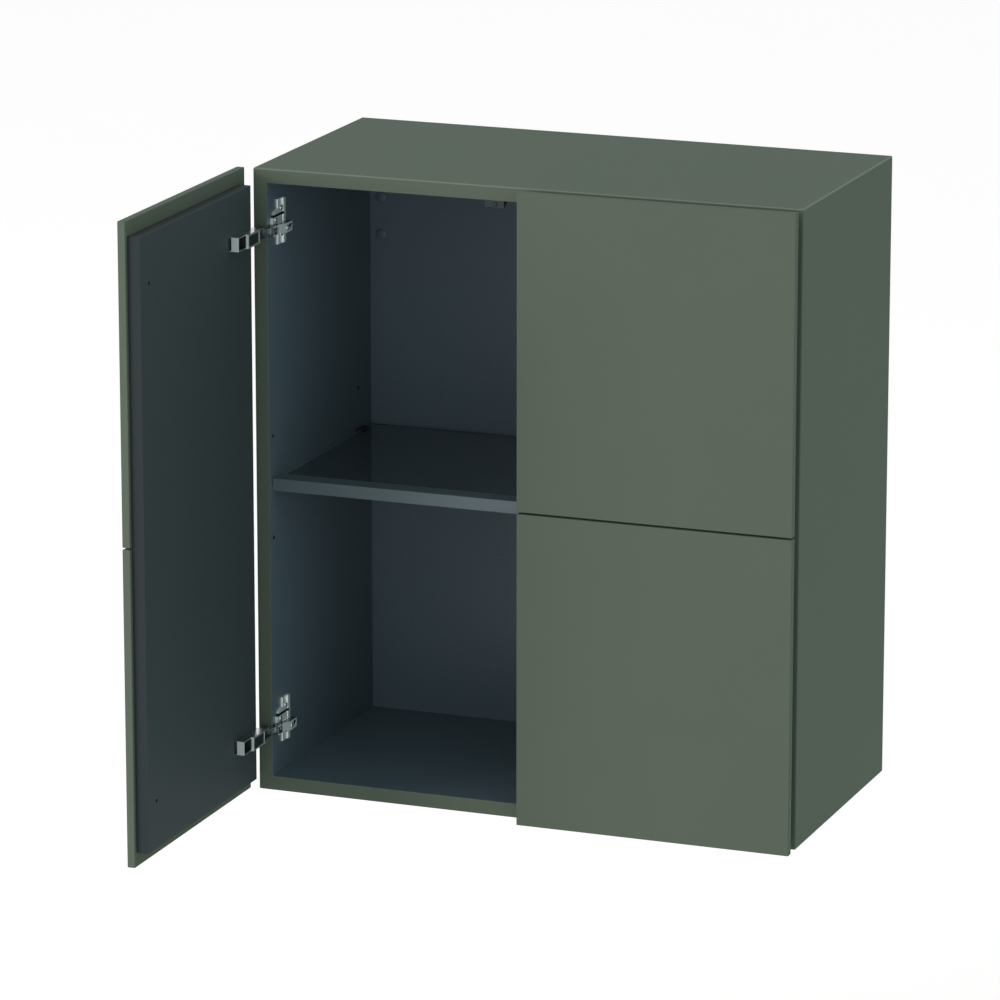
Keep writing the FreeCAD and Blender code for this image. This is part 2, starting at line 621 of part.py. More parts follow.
def hinge_arm(label, side, level):
    body = new_body(label, (-side * d.width / 2, -d.depth, level))
    near = d.pivot_across - d.ear_reach
    far = d.pivot_across + d.ear_reach
    nose = d.pivot_back - d.ear_reach
    seat = d.board + d.seat_rise
    bent = mirrored(side, [
        (near, nose + d.ear_cut), (near, d.ramp_low_front), (seat, d.ramp_low_back), (seat, d.arm_back),
        (d.arm_top, d.arm_back), (d.arm_top, d.ramp_high_back), (far, d.ramp_high_front),
        (far, nose + d.ear_nip), (far - d.ear_nip, nose), (near + d.ear_cut, nose)])
    pad(body, outline(body, "XY_Plane", bent), d.arm_tall, symmetric=True)
    pivot = [(side * d.pivot_across, d.pivot_back)]
    ahead = nose - d.ear_reach
    hollow = mirrored(side, [
        (d.board, ahead), (far + d.arm_sheet, ahead), (far + d.arm_sheet, d.fork_back),
        (far - d.arm_sheet, d.fork_back), (far - d.arm_sheet, d.ramp_high_front),
        (d.arm_top - d.arm_sheet, d.ramp_high_back), (d.arm_top - d.arm_sheet, d.arm_back - d.arm_sheet),
        (d.board, d.arm_back - d.arm_sheet)])
    pocket(body, outline(body, "XY_Plane", hollow), d.arm_tall - d.arm_sheet * 2, symmetric=True)
    pocket(body, circles(body, "XY_Plane", pivot, d.pivot_radius + d.pivot_seat), symmetric=True)
    holes = prisms(body, "YZ_Plane", [(d.adjuster_back, ZERO)], d.adjuster_radius + d.hole_ease, SHANK)
    pocket(body, holes, symmetric=True)
    window = [(d.window_front, d.window_high), (d.window_back, d.window_high), (d.window_foot, -d.window_low)]
    pocket(body, outline(body, "YZ_Plane", window), symmetric=True)


def pivot_base(side, level):
    return (-side * (d.width / 2 - d.pivot_across), d.pivot_back - d.depth, level)


def hinge_pin(label, side, level):
    body = new_body(label, pivot_base(side, level))
    pad(body, circles(body, "XY_Plane", [(ZERO, ZERO)], d.pivot_radius),
        d.arm_tall + d.pivot_stick * 2, symmetric=True)


def hinge_lever(label, side, level):
    body = new_body(label, pivot_base(side, level), OPENING[side])
    low, high = mirrored(side, [(d.lever_start, -d.lever_low), (d.lever_end, -d.lever_web)])
    pad(body, rectangle(body, "XY_Plane", low, high), d.lever_tall, symmetric=True)
    hollow_low, hollow_high = mirrored(
        side, [(d.lever_start, -d.lever_low), (d.lever_end, -d.lever_web - d.lever_sheet)])
    pocket(body, rectangle(body, "XY_Plane", hollow_low, hollow_high),
           d.lever_tall - d.lever_sheet * 2, symmetric=True)
    under_web = -d.lever_web - d.lever_sheet
    neck = mirrored(side, [
        (ZERO, d.eye_radius), (d.eye_radius, d.eye_radius), (d.eye_radius, -d.neck_high),
        (d.neck_end, -d.lever_web), (d.neck_end, under_web), (d.lever_start, under_web),
        (d.neck_turn, -d.neck_low), (ZERO, -d.eye_radius)])
    pad(body, outline(body, "XY_Plane", neck), d.eye_tall, symmetric=True)
    pad(body, circles(body, "XY_Plane", [(ZERO, ZERO)], d.eye_radius), d.eye_tall, symmetric=True)
    bore = circles(body, "XY_Plane", [(ZERO, ZERO)], d.pivot_radius + d.pivot_run)
    pocket(body, bore, symmetric=True)


def hinge_roller(label, side, level):
    body = new_body(label, pivot_base(side, level), OPENING[side])
    between_flanges = d.lever_tall - d.lever_sheet * 2
    centre = (side * d.roller_along, -d.roller_low)
    pad(body, circles(body, "XY_Plane", [centre], d.roller_radius), between_flanges, symmetric=True)


def door_base(side, level=ZERO):
    return (-side * (d.width / 2 - d.axis_across), -d.depth - d.axis_ahead, level)


def on_door(along, proud):
    """A place on a closed left door, seen from the axis that it turns about."""
    return (d.inner_inset + along - d.axis_across, d.axis_ahead - d.door_gap + proud)


def hinge_cup(label, side, level):
    body = new_body(label, door_base(side, level), OPENING[side])
    inside = d.cup_tall - d.cup_side * 2
    above = d.cup_rise + d.cup_side
    shell = [
        (d.cup_start, -d.cup_deep), (d.cup_end, -d.cup_deep), (d.cup_end, ZERO), (d.tail_end, ZERO),
        (d.tail_end, d.tail_rise), (d.cup_end, d.tail_rise), (d.cup_end, d.cup_rise),
        (d.cup_start + d.cheek_cut, d.cup_rise), (d.cup_start, d.cup_rise - d.cheek_cut)]
    mouth = d.cup_start - d.cup_side
    far_wall = d.cup_end - d.cup_side
    trough = [
        (d.cup_start + d.cup_sheet, d.cup_sheet - d.cup_deep), (far_wall, d.cup_sheet - d.cup_deep),
        (far_wall, d.cup_rise - d.bridge_sheet), (d.bridge_start, d.cup_rise - d.bridge_sheet),
        (d.bridge_start, above), (mouth, above), (mouth, ZERO), (d.cup_start + d.cup_sheet, ZERO)]
    end_plate = d.tail_end - d.cup_side
    past = d.tail_end + d.cup_side
    tail = [
        (d.cup_end, d.cup_side), (past, d.cup_side), (past, d.tail_slot), (end_plate, d.tail_slot),
        (end_plate, above), (d.cup_end, above)]
    pad(body, outline(body, "XY_Plane", door_outline(side, shell)), d.cup_tall, symmetric=True)
    for cut in (trough, tail):
        pocket(body, outline(body, "XY_Plane", door_outline(side, cut)), inside, symmetric=True)
    holes = prisms(body, "XZ_Plane", cup_screw_centres(side, [ZERO]),
                   d.cup_screw_radius + d.hole_ease, SHANK)
    pocket(body, holes, symmetric=True)
    tall = d.cup_tall / 2 - d.bridge_frame
    recess = [(side * on_door(along, ZERO)[0], half * tall) for along, half in (
        (d.bridge_start + d.bridge_frame, -1), (d.cup_end - d.bridge_frame, 1))]
    pocket(body, rectangle(body, "XZ_Plane", *recess, lift=-on_door(ZERO, d.cup_rise)[1]),
           d.bridge_recess, reverse=True)


def door_outline(side, points):
    return mirrored(side, [on_door(along, proud) for along, proud in points])


def cup_screw_centres(side, lifts):
    across = [side * on_door(along, ZERO)[0] for along in (d.cup_screw_near, d.cup_screw_far)]
    return [(x, lift) for lift in lifts for x in across]


# Doors
def inner_panel(name, side):
    body = new_body(f"{name}_inner_panel", door_base(side), OPENING[side])
    face = on_door(ZERO, ZERO)[1]
    free = d.width / 2 - d.middle_gap / 2 - d.free_inset - d.inner_inset
    low = (ZERO, BOTTOM + d.inner_drop)
    high = (free, TOP - d.inner_drop)
    corners = [(side * on_door(along, ZERO)[0], lift) for along, lift in (low, high)]
    pad(body, rectangle(body, "XZ_Plane", *corners, lift=-face), d.inner_thick)
    for level in LEVELS.values():
        cup = [(side * on_door(along, ZERO)[0], level + half * d.cup_tall / 2)
               for along, half in ((d.cup_start, -1), (d.cup_end, 1))]
        pocket(body, rectangle(body, "XZ_Plane", *cup, lift=-face), d.cup_deep, reverse=True)
    screws = cup_screw_centres(side, list(LEVELS.values()))
    pocket(body, prisms(body, "XZ_Plane", screws, d.cup_screw_radius + d.hole_ease, SHANK, -face),
           d.cup_screw_deep + d.hole_ease, reverse=True)
    spare = side * on_door(free - d.spare_inset, ZERO)[0]
    spares = [(spare, level) for level in LEVELS.values()]
    pocket(body, circles(body, "XZ_Plane", spares, d.spare_radius, -face), d.spare_deep, reverse=True)


def front_tile(label, side, low, high):
    body = new_body(label, door_base(side), OPENING[side])
    back = d.axis_ahead - d.door_gap - d.inner_thick
    hinge_edge = -side * d.axis_across
    free_edge = side * (d.width / 2 - d.middle_gap / 2 - d.axis_across)
    slab = pad(body, rectangle(body, "XZ_Plane", (hinge_edge, low), (free_edge, high), -back),
               d.tile_thick)
    front = back.value - d.tile_thick.value
    rim = [f"Edge{number}" for number, edge in enumerate(slab.Shape.Edges, start=1)
           if all(abs(corner.Y - front) < d.tile_bevel.value for corner in edge.Vertexes)]
    bevel = body.newObject("PartDesign::Chamfer", f"{label}_bevel")
    bevel.Base = (slab, rim)
    bind(bevel, "Size", d.tile_bevel)
    body.Tip = bevel


# The whole cabinet
top_middle = (TOP + BOTTOM) / 2
flat_panel("top_panel", TOP, 1)
flat_panel("bottom_panel", BOTTOM, -1)
back_panel()
shelf_rail()
shelf_glass()
shelf_pins()
shelf_clips()
hanger_screws_and_caps()
door_stop_pads()
for name, side in SIDES.items():
    side_panel(name, side)
    hanger(name, side)
    wall_plate(name, side)
    door_stop(name, side)
    inner_panel(name, side)
    front_tile(f"{name}_upper_tile", side, top_middle + d.tile_slit / 2, TOP)
    front_tile(f"{name}_lower_tile", side, BOTTOM, top_middle - d.tile_slit / 2)
    for level_name, level in LEVELS.items():
        hinge = f"{name}_{level_name}_hinge"
        hinge_plate(f"{hinge}_plate", side, level)
        hinge_arm(f"{hinge}_arm", side, level)
        hinge_pin(f"{hinge}_pin", side, level)
        hinge_lever(f"{hinge}_lever", side, level)
        hinge_roller(f"{hinge}_roller", side, level)
        hinge_cup(f"{hinge}_cup", side, level)
    wall = -side * (d.width / 2 - d.board)
    carcass_front = (wall, -d.depth, ZERO)
    stepped_group(f"{name}_plate_screws", "YZ_Plane", plate_screw_centres(), [
        (SHANK, -d.plate_screw_deep, d.plate_screw_radius, d.plate_screw_deep + d.plate_thin),
        (ROUND, d.plate_thin, d.plate_head_radius, d.plate_head_high)], carcass_front, side=side)
    side_screws = [(d.adjuster_back, level) for level in LEVELS.values()]
    cam_screws = [(d.cam_screw_back, level + d.cam_screw_lift) for level in LEVELS.values()]
    adjusters = stepped_group(f"{name}_hinge_adjusters", "YZ_Plane", side_screws, [
        (SHANK, d.seat_rise, d.adjuster_radius, d.arm_top - d.board - d.seat_rise),
        (ROUND, d.arm_top - d.board, d.adjuster_head, d.adjuster_high)], carcass_front, side=side)
    add_steps(adjusters, "YZ_Plane", cam_screws, [
        (SHANK, ZERO, d.adjuster_radius, d.cam_thick),
        (ROUND, d.cam_thick, d.adjuster_head, d.adjuster_high)], side)
    face = on_door(ZERO, ZERO)[1]
    stepped_group(f"{name}_cup_screws", "XZ_Plane", cup_screw_centres(side, list(LEVELS.values())), [
        (ROUND, -face - d.cup_side - d.cup_head_high, d.cup_head_radius, d.cup_head_high),
        (SHANK, -face - d.cup_side, d.cup_screw_radius, d.cup_side + d.cup_screw_deep)],
        door_base(side), OPENING[side])
doc.recompute()

for thing in doc.Objects:
    if "Invalid" in thing.State or "Error" in thing.State:
        raise ValueError(f"{thing.Label} failed: {thing.State}")
for node in nodes:
    if node.Shape.isNull() or not node.Shape.isValid():
        raise ValueError(f"{node.Label} has no valid shape")

os.makedirs("parts", exist_ok=True)
for node in nodes:
    node.Shape.exportStep(f"parts/{node.Label}.step")
    print(node.Label, len(node.Shape.Solids), round(node.Shape.Volume, 1))
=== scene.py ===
import math

import bmesh
import bpy
from mathutils import Matrix, Vector


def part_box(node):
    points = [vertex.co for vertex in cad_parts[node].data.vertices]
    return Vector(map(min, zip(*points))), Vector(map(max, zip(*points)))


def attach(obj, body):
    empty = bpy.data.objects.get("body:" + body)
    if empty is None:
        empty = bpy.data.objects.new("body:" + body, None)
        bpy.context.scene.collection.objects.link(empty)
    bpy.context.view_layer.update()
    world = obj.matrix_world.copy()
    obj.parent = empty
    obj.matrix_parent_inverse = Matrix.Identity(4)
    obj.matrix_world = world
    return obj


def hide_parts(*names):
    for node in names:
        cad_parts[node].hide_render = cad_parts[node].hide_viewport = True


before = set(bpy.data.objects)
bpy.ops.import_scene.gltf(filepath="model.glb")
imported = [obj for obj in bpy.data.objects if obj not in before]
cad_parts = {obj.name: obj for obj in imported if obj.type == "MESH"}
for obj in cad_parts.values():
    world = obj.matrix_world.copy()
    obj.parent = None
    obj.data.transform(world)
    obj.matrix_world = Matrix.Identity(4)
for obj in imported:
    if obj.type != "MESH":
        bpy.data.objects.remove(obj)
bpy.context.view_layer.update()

MM = 0.001
X_AXIS = Vector((1, 0, 0))
Y_AXIS = Vector((0, 1, 0))
Z_AXIS = Vector((0, 0, 1))
SIDES = ("left", "right")
LEVELS = ("upper", "lower")
INWARDS = {"left": X_AXIS, "right": -X_AXIS}
# Outer sides of the carcass boards
BOARD_FACING = {"top_panel": Z_AXIS, "bottom_panel": -Z_AXIS,
                "left_side_panel": -X_AXIS, "right_side_panel": X_AXIS}
# Inner faces of the doors at rest: the left door stands open, the right door is closed
DOOR_FACING = {"left": X_AXIS, "right": Y_AXIS}
# From a door's hinge edge to its free edge
DOOR_AWAY = {"left": -Y_AXIS, "right": -X_AXIS}

# Rounded edges
CARCASS_EDGE = 1.6 * MM
OPENING_EDGE = 0.6 * MM
TILE_EDGE = 0.9 * MM
PANEL_EDGE = 0.8 * MM
GLASS_EDGE = 1.1 * MM
PRESSED_EDGE = 0.35 * MM
CAST_EDGE = 0.5 * MM
RAIL_EDGE = 0.45 * MM
MOULDED_EDGE = 0.5 * MM

# Steps that make a rounding, a dome or a full turn
EDGE_STEPS = 4
SMALL_STEPS = 2
BEVEL_STEPS = 1
CAP_STEPS = 8
CROWN_STEPS = 6
ROUND_SIDES = 40

# Edges sharper than this are rounded and shaded sharp, and faces flatter than this become one
SHARP_ANGLE = math.radians(35)
FLAT_ANGLE = math.radians(0.5)

# Points this near are one point; faces this near to a plane or a hole belong to it
SAME_POINT = 0.002 * MM
SAME_PLANE = 0.01 * MM
SAME_HOLE = 0.1 * MM

# A face's normal along a direction: nearly all of it, most of it, half of it, hardly any of it
NEARLY_ALONG = 0.99
MOSTLY_ALONG = 0.8
HALF_ALONG = 0.5
HARDLY_ALONG = 0.05

# Strips behind the carcass's front edge and before its rear edge that keep the lacquer
FRONT_LIP = 0.3 * MM
REAR_LIP = 3 * MM

# Shelf holes: three above each other, the rear ones a little ahead of the clips' middles
PEG_RADIUS = 2.5 * MM
PEG_HOLE_DEEP = 9 * MM
PEG_STEP = 64 * MM
REAR_PEG_AHEAD = 1 * MM
# Gap between the shelf glass and a side panel
GLASS_EASE = 2 * MM

# Spare holes and hinge pockets in the doors' inner panels
SPARE_RADIUS = 2.5 * MM
SPARE_DEEP = 10 * MM
SPARE_INSET = 25 * MM
CUP_DEEP = 10.5 * MM
CUP_LENGTH = 41 * MM
# A cutter stands this far out of the face that it cuts
OVERSHOOT = 1 * MM

# Hinge cups: walls, step from the bridge down to the tail, depth of the bridge's recess, slot at the end
CUP_WALL = 1.2 * MM
CUP_STEP = 3.3 * MM
CUP_RECESS = 0.6 * MM
CUP_SLOT = 3.4 * MM

# Slot in the plates' cam, above the hinge centre
CAM_SLOT_LOW = 14.2 * MM
CAM_SLOT_HIGH = 17.6 * MM

# Hinge pins and rollers: chamfer and flat end as shares of the radius
PIN_CHAMFER = 0.2
PIN_FLAT = 0.6

# Screws: height of the head and radius of the shank
PLATE_SCREW = (1.8 * MM, 1.9 * MM)
ADJUSTER_SCREW = (1.4 * MM, 2.3 * MM)
CUP_SCREW = (1.8 * MM, 1.7 * MM)
HANGER_SCREW = (3 * MM, 2.9 * MM)
# Shares of a screw's shank radius and of its head's radius and height
SCREW_TIP = 0.7
HEAD_FOOT = 0.96
HEAD_BELLY = 0.12
HEAD_RIM = 0.45
CROSS_REACH = 0.62
CROSS_HALF = 0.13
CROSS_FLOOR = 0.25

# Caps over the hanger screws, the stem's radius as a share of the cap's
CAP_RISE = 1.6 * MM
CAP_STEM = 2 * MM
CAP_STEM_SHARE = 0.78

# Round of a stop pad, as shares of its radius and thickness
PAD_ROUND = ((1, 0.4), (0.85, 0.8), (0.5, 0.97))

# Further finishes in the lists of the boards, the door panels, the hinge parts and the shelf glass
INSIDE, HIGHLIT_EDGE, HOLE_SHADE = range(1, 4)
SHADED_EDGE = 1
HIGHLIT_FACES, SHADED_HOLLOW, REFLECTING_FRAMES = range(1, 4)
GROUND, REAR = range(1, 3)

# Noise: no stretch, detail under a colour and in a relief, and the middle of its range
EVEN = (1, 1, 1)
MOTTLE_DETAIL = 4.0
GRAIN_DETAIL = 3.0
NOISE_LOW = 0.3
NOISE_HIGH = 0.7


# Node graphs
def new_shader(name):
    material = bpy.data.materials.new(name)
    material.use_nodes = True
    tree = material.node_tree
    return material, tree, tree.nodes["Principled BSDF"]


def pattern(tree, kind, output, scale, stretch=EVEN, **settings):
    """A texture in the piece's own coordinates, in repeats per metre."""
    place = tree.nodes.new("ShaderNodeTexCoord")
    mapping = tree.nodes.new("ShaderNodeMapping")
    mapping.inputs["Scale"].default_value = stretch
    texture = tree.nodes.new(kind)
    tree.links.new(place.outputs["Object"], mapping.inputs["Vector"])
    tree.links.new(mapping.outputs["Vector"], texture.inputs["Vector"])
    texture.inputs["Scale"].default_value = scale
    for socket, value in settings.items():
        texture.inputs[socket].default_value = value
    return texture.outputs[output]


def noise(tree, scale, stretch=EVEN, **settings):
    return pattern(tree, "ShaderNodeTexNoise", "Fac", scale, stretch, **settings)


def spread(tree, source, low, high):
    """Maps the middle of a texture's range to low and high."""
    node = tree.nodes.new("ShaderNodeMapRange")
    node.inputs["From Min"].default_value = NOISE_LOW
    node.inputs["From Max"].default_value = NOISE_HIGH
    node.inputs["To Min"].default_value = low
    node.inputs["To Max"].default_value = high
    tree.links.new(source, node.inputs["Value"])
    return node.outputs["Result"]


def two_tones(tree, source, dark, light):
    ramp = tree.nodes.new("ShaderNodeValToRGB")
    for element, colour, position in zip(ramp.color_ramp.elements, (dark, light), (NOISE_LOW, NOISE_HIGH)):
        element.color = (*colour, 1)
        element.position = position
    tree.links.new(source, ramp.inputs["Fac"])
    return ramp.outputs["Color"]


def shade(colour, factor):
    return tuple(channel * factor for channel in colour)


def drifting(tree, shader, source, dark, light, roughness):
    """Lets a surface's colour and gloss follow one texture."""
    tree.links.new(two_tones(tree, source, dark, light), shader.inputs["Base Color"])
    tree.links.new(spread(tree, source, *roughness), shader.inputs["Roughness"])


def relief(tree, shader, source, depth):
    bump = tree.nodes.new("ShaderNodeBump")
    bump.inputs["Distance"].default_value = depth
    tree.links.new(source, bump.inputs["Height"])
    tree.links.new(bump.outputs["Normal"], shader.inputs["Normal"])


def finish(name, colour, variation, roughness, mottle, grain, depth,
           mottle_stretch=EVEN, grain_stretch=EVEN, **constants):
    """A surface whose colour and gloss drift over mottle repeats and whose relief has grain repeats."""
    material, tree, shader = new_shader(name)
    drift = noise(tree, mottle, mottle_stretch, Detail=MOTTLE_DETAIL)
    drifting(tree, shader, drift, shade(colour, 1 - variation), shade(colour, 1 + variation), roughness)
    relief(tree, shader, noise(tree, grain, grain_stretch, Detail=GRAIN_DETAIL), depth)
    for socket, value in constants.items():
        shader.inputs[socket.replace("_", " ")].default_value = value
    return material


def glass():
    """Smoked glass with faint wiping marks in its polish."""
    material, tree, shader = new_shader("tinted_glass")
    smear = noise(tree, scale=14, stretch=(1, 0.35, 1), Detail=5.0)
    drifting(tree, shader, smear, dark=(0.23, 0.26, 0.28), light=(0.25, 0.28, 0.30),
             roughness=(0.015, 0.05))
    shader.inputs["Transmission Weight"].default_value = 0.9
    shader.inputs["IOR"].default_value = 1.52
    return material


def zinc():
    """Galvanised steel with its spangle."""
    material, tree, shader = new_shader("zinc_steel")
    spangle = pattern(tree, "ShaderNodeTexVoronoi", "Distance", scale=240)
    drifting(tree, shader, spangle, dark=(0.42, 0.44, 0.46), light=(0.56, 0.58, 0.60),
             roughness=(0.28, 0.45))
    relief(tree, shader, noise(tree, scale=1400, Detail=GRAIN_DETAIL), depth=0.006 * MM)
    shader.inputs["Metallic"].default_value = 1.0
    return material


# What finishes of one kind share
SPRAYED = {"variation": 0.015, "mottle": 9, "grain": 620, "depth": 0.012 * MM}
MELAMINE = {"variation": 0.06, "mottle": 260, "grain": 1500, "depth": 0.006 * MM}
POLISHED = {"mottle": 420, "grain": 1900, "depth": 0.0005 * MM, "Metallic": 1.0}
SATIN = {"roughness": (0.34, 0.42), "mottle": 420, "grain": 2600, "depth": 0.0008 * MM, "Metallic": 0.45}

# Satin grey-green lacquer with a faint sprayed texture
LACQUER = finish("olive_lacquer", (0.112, 0.135, 0.103), roughness=(0.68, 0.72), Specular_IOR_Level=0.1,
                 **SPRAYED)
# The same lacquer made lighter on the rounded upper edges, a painted highlight
LACQUER_HIGHLIGHT = finish("lacquer_painted_highlight", (0.155, 0.190, 0.145), roughness=(0.50, 0.58), Specular_IOR_Level=0.2,
                      **SPRAYED)
# Blue-grey melamine with a fine pearl and a soft sheen
GRAPHITE = finish("graphite_board", (0.110, 0.149, 0.182), roughness=(0.32, 0.4), Specular_IOR_Level=0.4,
                  **MELAMINE)
# Neutral graphite melamine on the doors' inner panels
DOOR_BOARD = finish("door_board", (0.052, 0.066, 0.069), roughness=(0.64, 0.72), Specular_IOR_Level=0.12,
                    **MELAMINE)
# Darker colour on the edges of the doors' inner panels, painted shade in the gap behind the tiles
PANEL_EDGE_SHADE = finish("panel_edge_painted_shade", (0.027, 0.035, 0.037), roughness=(0.60, 0.68), Specular_IOR_Level=0.15,
                   **MELAMINE)
GLASS = glass()
# The glass's ground and arrised edges, matt and paler than its faces
GROUND_GLASS = finish("ground_glass", (0.86, 0.90, 0.89), variation=0.08, roughness=(0.5, 0.62),
                      mottle=700, grain=2400, depth=0.004 * MM)
# Blue-grey anodised aluminium, brushed along the rail
ANODISED = finish("anodised_rail", (0.093, 0.127, 0.141), variation=0.05, roughness=(0.40, 0.48),
                  mottle=900, mottle_stretch=(0.02, 1, 1), grain=2600, grain_stretch=(0.01, 1, 1),
                  depth=0.002 * MM, Metallic=0.1)
# Polished nickel on the hinge cups, their screws and the shelf pins
NICKEL = finish("hinge_nickel", (0.64, 0.67, 0.665), variation=0.03, roughness=(0.20, 0.28), **POLISHED)
# Brushed nickel on the cast plates; the same lighter nickel on the arms' inward faces and on the ends of the
# cups is a painted highlight
BRUSHED_NICKEL_AND_HIGHLIGHT = finish("brushed_nickel_and_highlight", (0.84, 0.90, 0.885), variation=0.03, grain_stretch=(1, 1, 0.05),
                        **SATIN)
# Darker nickel on the frames that stand off a door, a painted dark reflection
NICKEL_FRAME_REFLECTION = finish("nickel_frames_painted_reflection", (0.36, 0.39, 0.385), variation=0.04, **SATIN)
# Nickel darkened on the arms, the levers and their pins, a painted dark reflection
NICKEL_DARK_REFLECTION = finish("nickel_painted_dark_reflection", (0.245, 0.290, 0.285), variation=0.04, roughness=(0.22, 0.30),
                     **POLISHED)
ZINC = zinc()
# Dark moulded plastic with an eroded grain, also used as painted shade in the shelf holes, the hinge hollows
# and the cam slots
DARK_PLASTIC_AND_SHADE = finish("dark_plastic", (0.018, 0.026, 0.028), variation=0.1, roughness=(0.38, 0.5),
                 mottle=300, grain=1700, depth=0.012 * MM, Specular_IOR_Level=0.25)
# Graphite moulded plastic on the hanger caps, in the back panel's colour
CAP_PLASTIC = finish("cap_plastic", (0.100, 0.134, 0.160), variation=0.06, roughness=(0.38, 0.46),
                     mottle=300, grain=1700, depth=0.008 * MM, Specular_IOR_Level=0.4)
# Soft dark bumper rubber, also painted shade on the shelf glass's rear edge
PAD_RUBBER_AND_SHADE = finish("pad_rubber", (0.026, 0.032, 0.034), variation=0.08, roughness=(0.55, 0.7),
                mottle=300, grain=2200, depth=0.01 * MM, Specular_IOR_Level=0.2)


# Mesh building blocks
def block(corner, opposite):
    """A box between two opposite corners."""
    low = Vector(map(min, corner, opposite))
    high = Vector(map(max, corner, opposite))
    bm = bmesh.new()
    bmesh.ops.create_cube(bm, size=1)
    bmesh.ops.scale(bm, verts=bm.verts, vec=high - low)
    bmesh.ops.translate(bm, verts=bm.verts, vec=(low + high) / 2)
    return bm


def rounded(bm, edges, width, steps=EDGE_STEPS):
    bmesh.ops.bevel(bm, geom=list(edges), offset=width, offset_type="OFFSET", segments=steps, profile=0.5,
                    affect="EDGES", clamp_overlap=True)
    return bm


def slab(node, width):
    """A board with rounded edges in the place of a CAD node."""
    bm = block(*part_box(node))
    return rounded(bm, bm.edges, width)


def turned(profile):
    """A closed turned piece about +Z, from pairs of radius and height that start and end on the axis."""
    bm = bmesh.new()
    turns = [2 * math.pi * side / ROUND_SIDES for side in range(ROUND_SIDES)]
    rings = []
    for radius, height in profile:
        around = turns if radius else turns[:1]
        rings.append([bm.verts.new((radius * math.cos(turn), radius * math.sin(turn), height))
                      for turn in around])
    for lower, upper in zip(rings, rings[1:]):
        for side in range(ROUND_SIDES):
            after = (side + 1) % ROUND_SIDES
            corners = [lower[side % len(lower)], lower[after % len(lower)],
                       upper[after % len(upper)], upper[side % len(upper)]]
            bm.faces.new(dict.fromkeys(corners))
    bmesh.ops.recalc_face_normals(bm, faces=bm.faces)
    return bm


def dome(radius, rise, steps, foot=0):
    """The profile of a dome from its rim, at the height of its foot, to its top on the axis."""
    turns = [math.pi / 2 * step / steps for step in range(steps)]
    return [(radius * math.cos(turn), foot + rise * math.sin(turn)) for turn in turns] + [(0, foot + rise)]


def drill(radius, deep):
    """A cutter for a round hole that opens at the origin towards +Z."""
    return turned([(0, -deep), (radius, -deep), (radius, OVERSHOOT), (0, OVERSHOOT)])


def placed(bm, place, facing):
    """Turns a piece's +Z to the given direction and sets its origin at place."""
    turn = Z_AXIS.rotation_difference(facing).to_matrix().to_4x4()
    bm.transform(Matrix.Translation(place) @ turn)
    return bm


def merged(parts):
    whole = bmesh.new()
    for part in parts:
        mesh = bpy.data.meshes.new("merging")
        part.to_mesh(mesh)
        part.free()
        whole.from_mesh(mesh)
        bpy.data.meshes.remove(mesh)
    return whole


def carved(solid, cutter):
    """The solid with the cutter taken out of it."""
    things = []
    for bm in (solid, cutter):
        mesh = bpy.data.meshes.new("carving")
        bm.to_mesh(mesh)
        bm.free()
        thing = bpy.data.objects.new("carving", mesh)
        bpy.context.scene.collection.objects.link(thing)
        things.append(thing)
    cut = things[0].modifiers.new("cut", "BOOLEAN")
    cut.operation = "DIFFERENCE"
    cut.solver = "EXACT"
    cut.object = things[1]
    graph = bpy.context.evaluated_depsgraph_get()
    result = bmesh.new()
    result.from_object(things[0], graph)
    for thing in things:
        mesh = thing.data
        bpy.data.objects.remove(thing)
        bpy.data.meshes.remove(mesh)
    return result


def bisected(bm, place, normal, clear=False):
    """Splits the faces along a plane and, if asked to, clears what lies behind it."""
    bmesh.ops.bisect_plane(bm, geom=bm.verts[:] + bm.edges[:] + bm.faces[:], dist=SAME_POINT,
                           plane_co=place, plane_no=normal, clear_inner=clear)


def welded(node):
    """A copy of a CAD node's mesh with its doubled points joined."""
    bm = bmesh.new()
    bm.from_mesh(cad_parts[node].data)
    bmesh.ops.remove_doubles(bm, verts=bm.verts, dist=SAME_POINT)
    return bm


def softened(node, width):
    """A CAD node's own shape with its flat faces made whole and its sharp edges rounded."""
    bm = welded(node)
    bmesh.ops.dissolve_limit(bm, angle_limit=FLAT_ANGLE, verts=bm.verts, edges=bm.edges)
    sharp = [edge for edge in bm.edges if edge.is_manifold and edge.calc_face_angle() > SHARP_ANGLE]
    return rounded(bm, sharp, width, SMALL_STEPS)


def islands(node):
    """Lowest and highest corner of each separate solid of a CAD node."""
    bm = welded(node)
    left = set(bm.verts)
    boxes = []
    while left:
        waiting = [left.pop()]
        corners = []
        while waiting:
            vert = waiting.pop()
            corners.append(vert.co.copy())
            near = {edge.other_vert(vert) for edge in vert.link_edges} & left
            left -= near
            waiting.extend(near)
        boxes.append((Vector(map(min, zip(*corners))), Vector(map(max, zip(*corners)))))
    bm.free()
    return sorted(boxes, key=lambda box: tuple(box[0]))


def piece(name, bm, body, slot, nodes, *materials):
    """Hangs a finished mesh on a body, in the place of CAD nodes."""
    mesh = bpy.data.meshes.new(name)
    bm.to_mesh(mesh)
    bm.free()
    for material in materials:
        mesh.materials.append(material)
    mesh.shade_smooth()
    mesh.set_sharp_from_angle(angle=SHARP_ANGLE)
    thing = bpy.data.objects.new(name, mesh)
    bpy.context.scene.collection.objects.link(thing)
    normals = thing.modifiers.new("flat faces stay flat", "WEIGHTED_NORMAL")
    normals.keep_sharp = True
    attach(thing, body)
    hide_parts(*nodes)
    return thing


# Carcass
carcass_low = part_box("left_side_panel")[0]
carcass_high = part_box("right_side_panel")[1]
carcass_centre = (carcass_low + carcass_high) / 2
carcass_half = (carcass_high - carcass_low) / 2
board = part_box("top_panel")[1][2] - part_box("top_panel")[0][2]


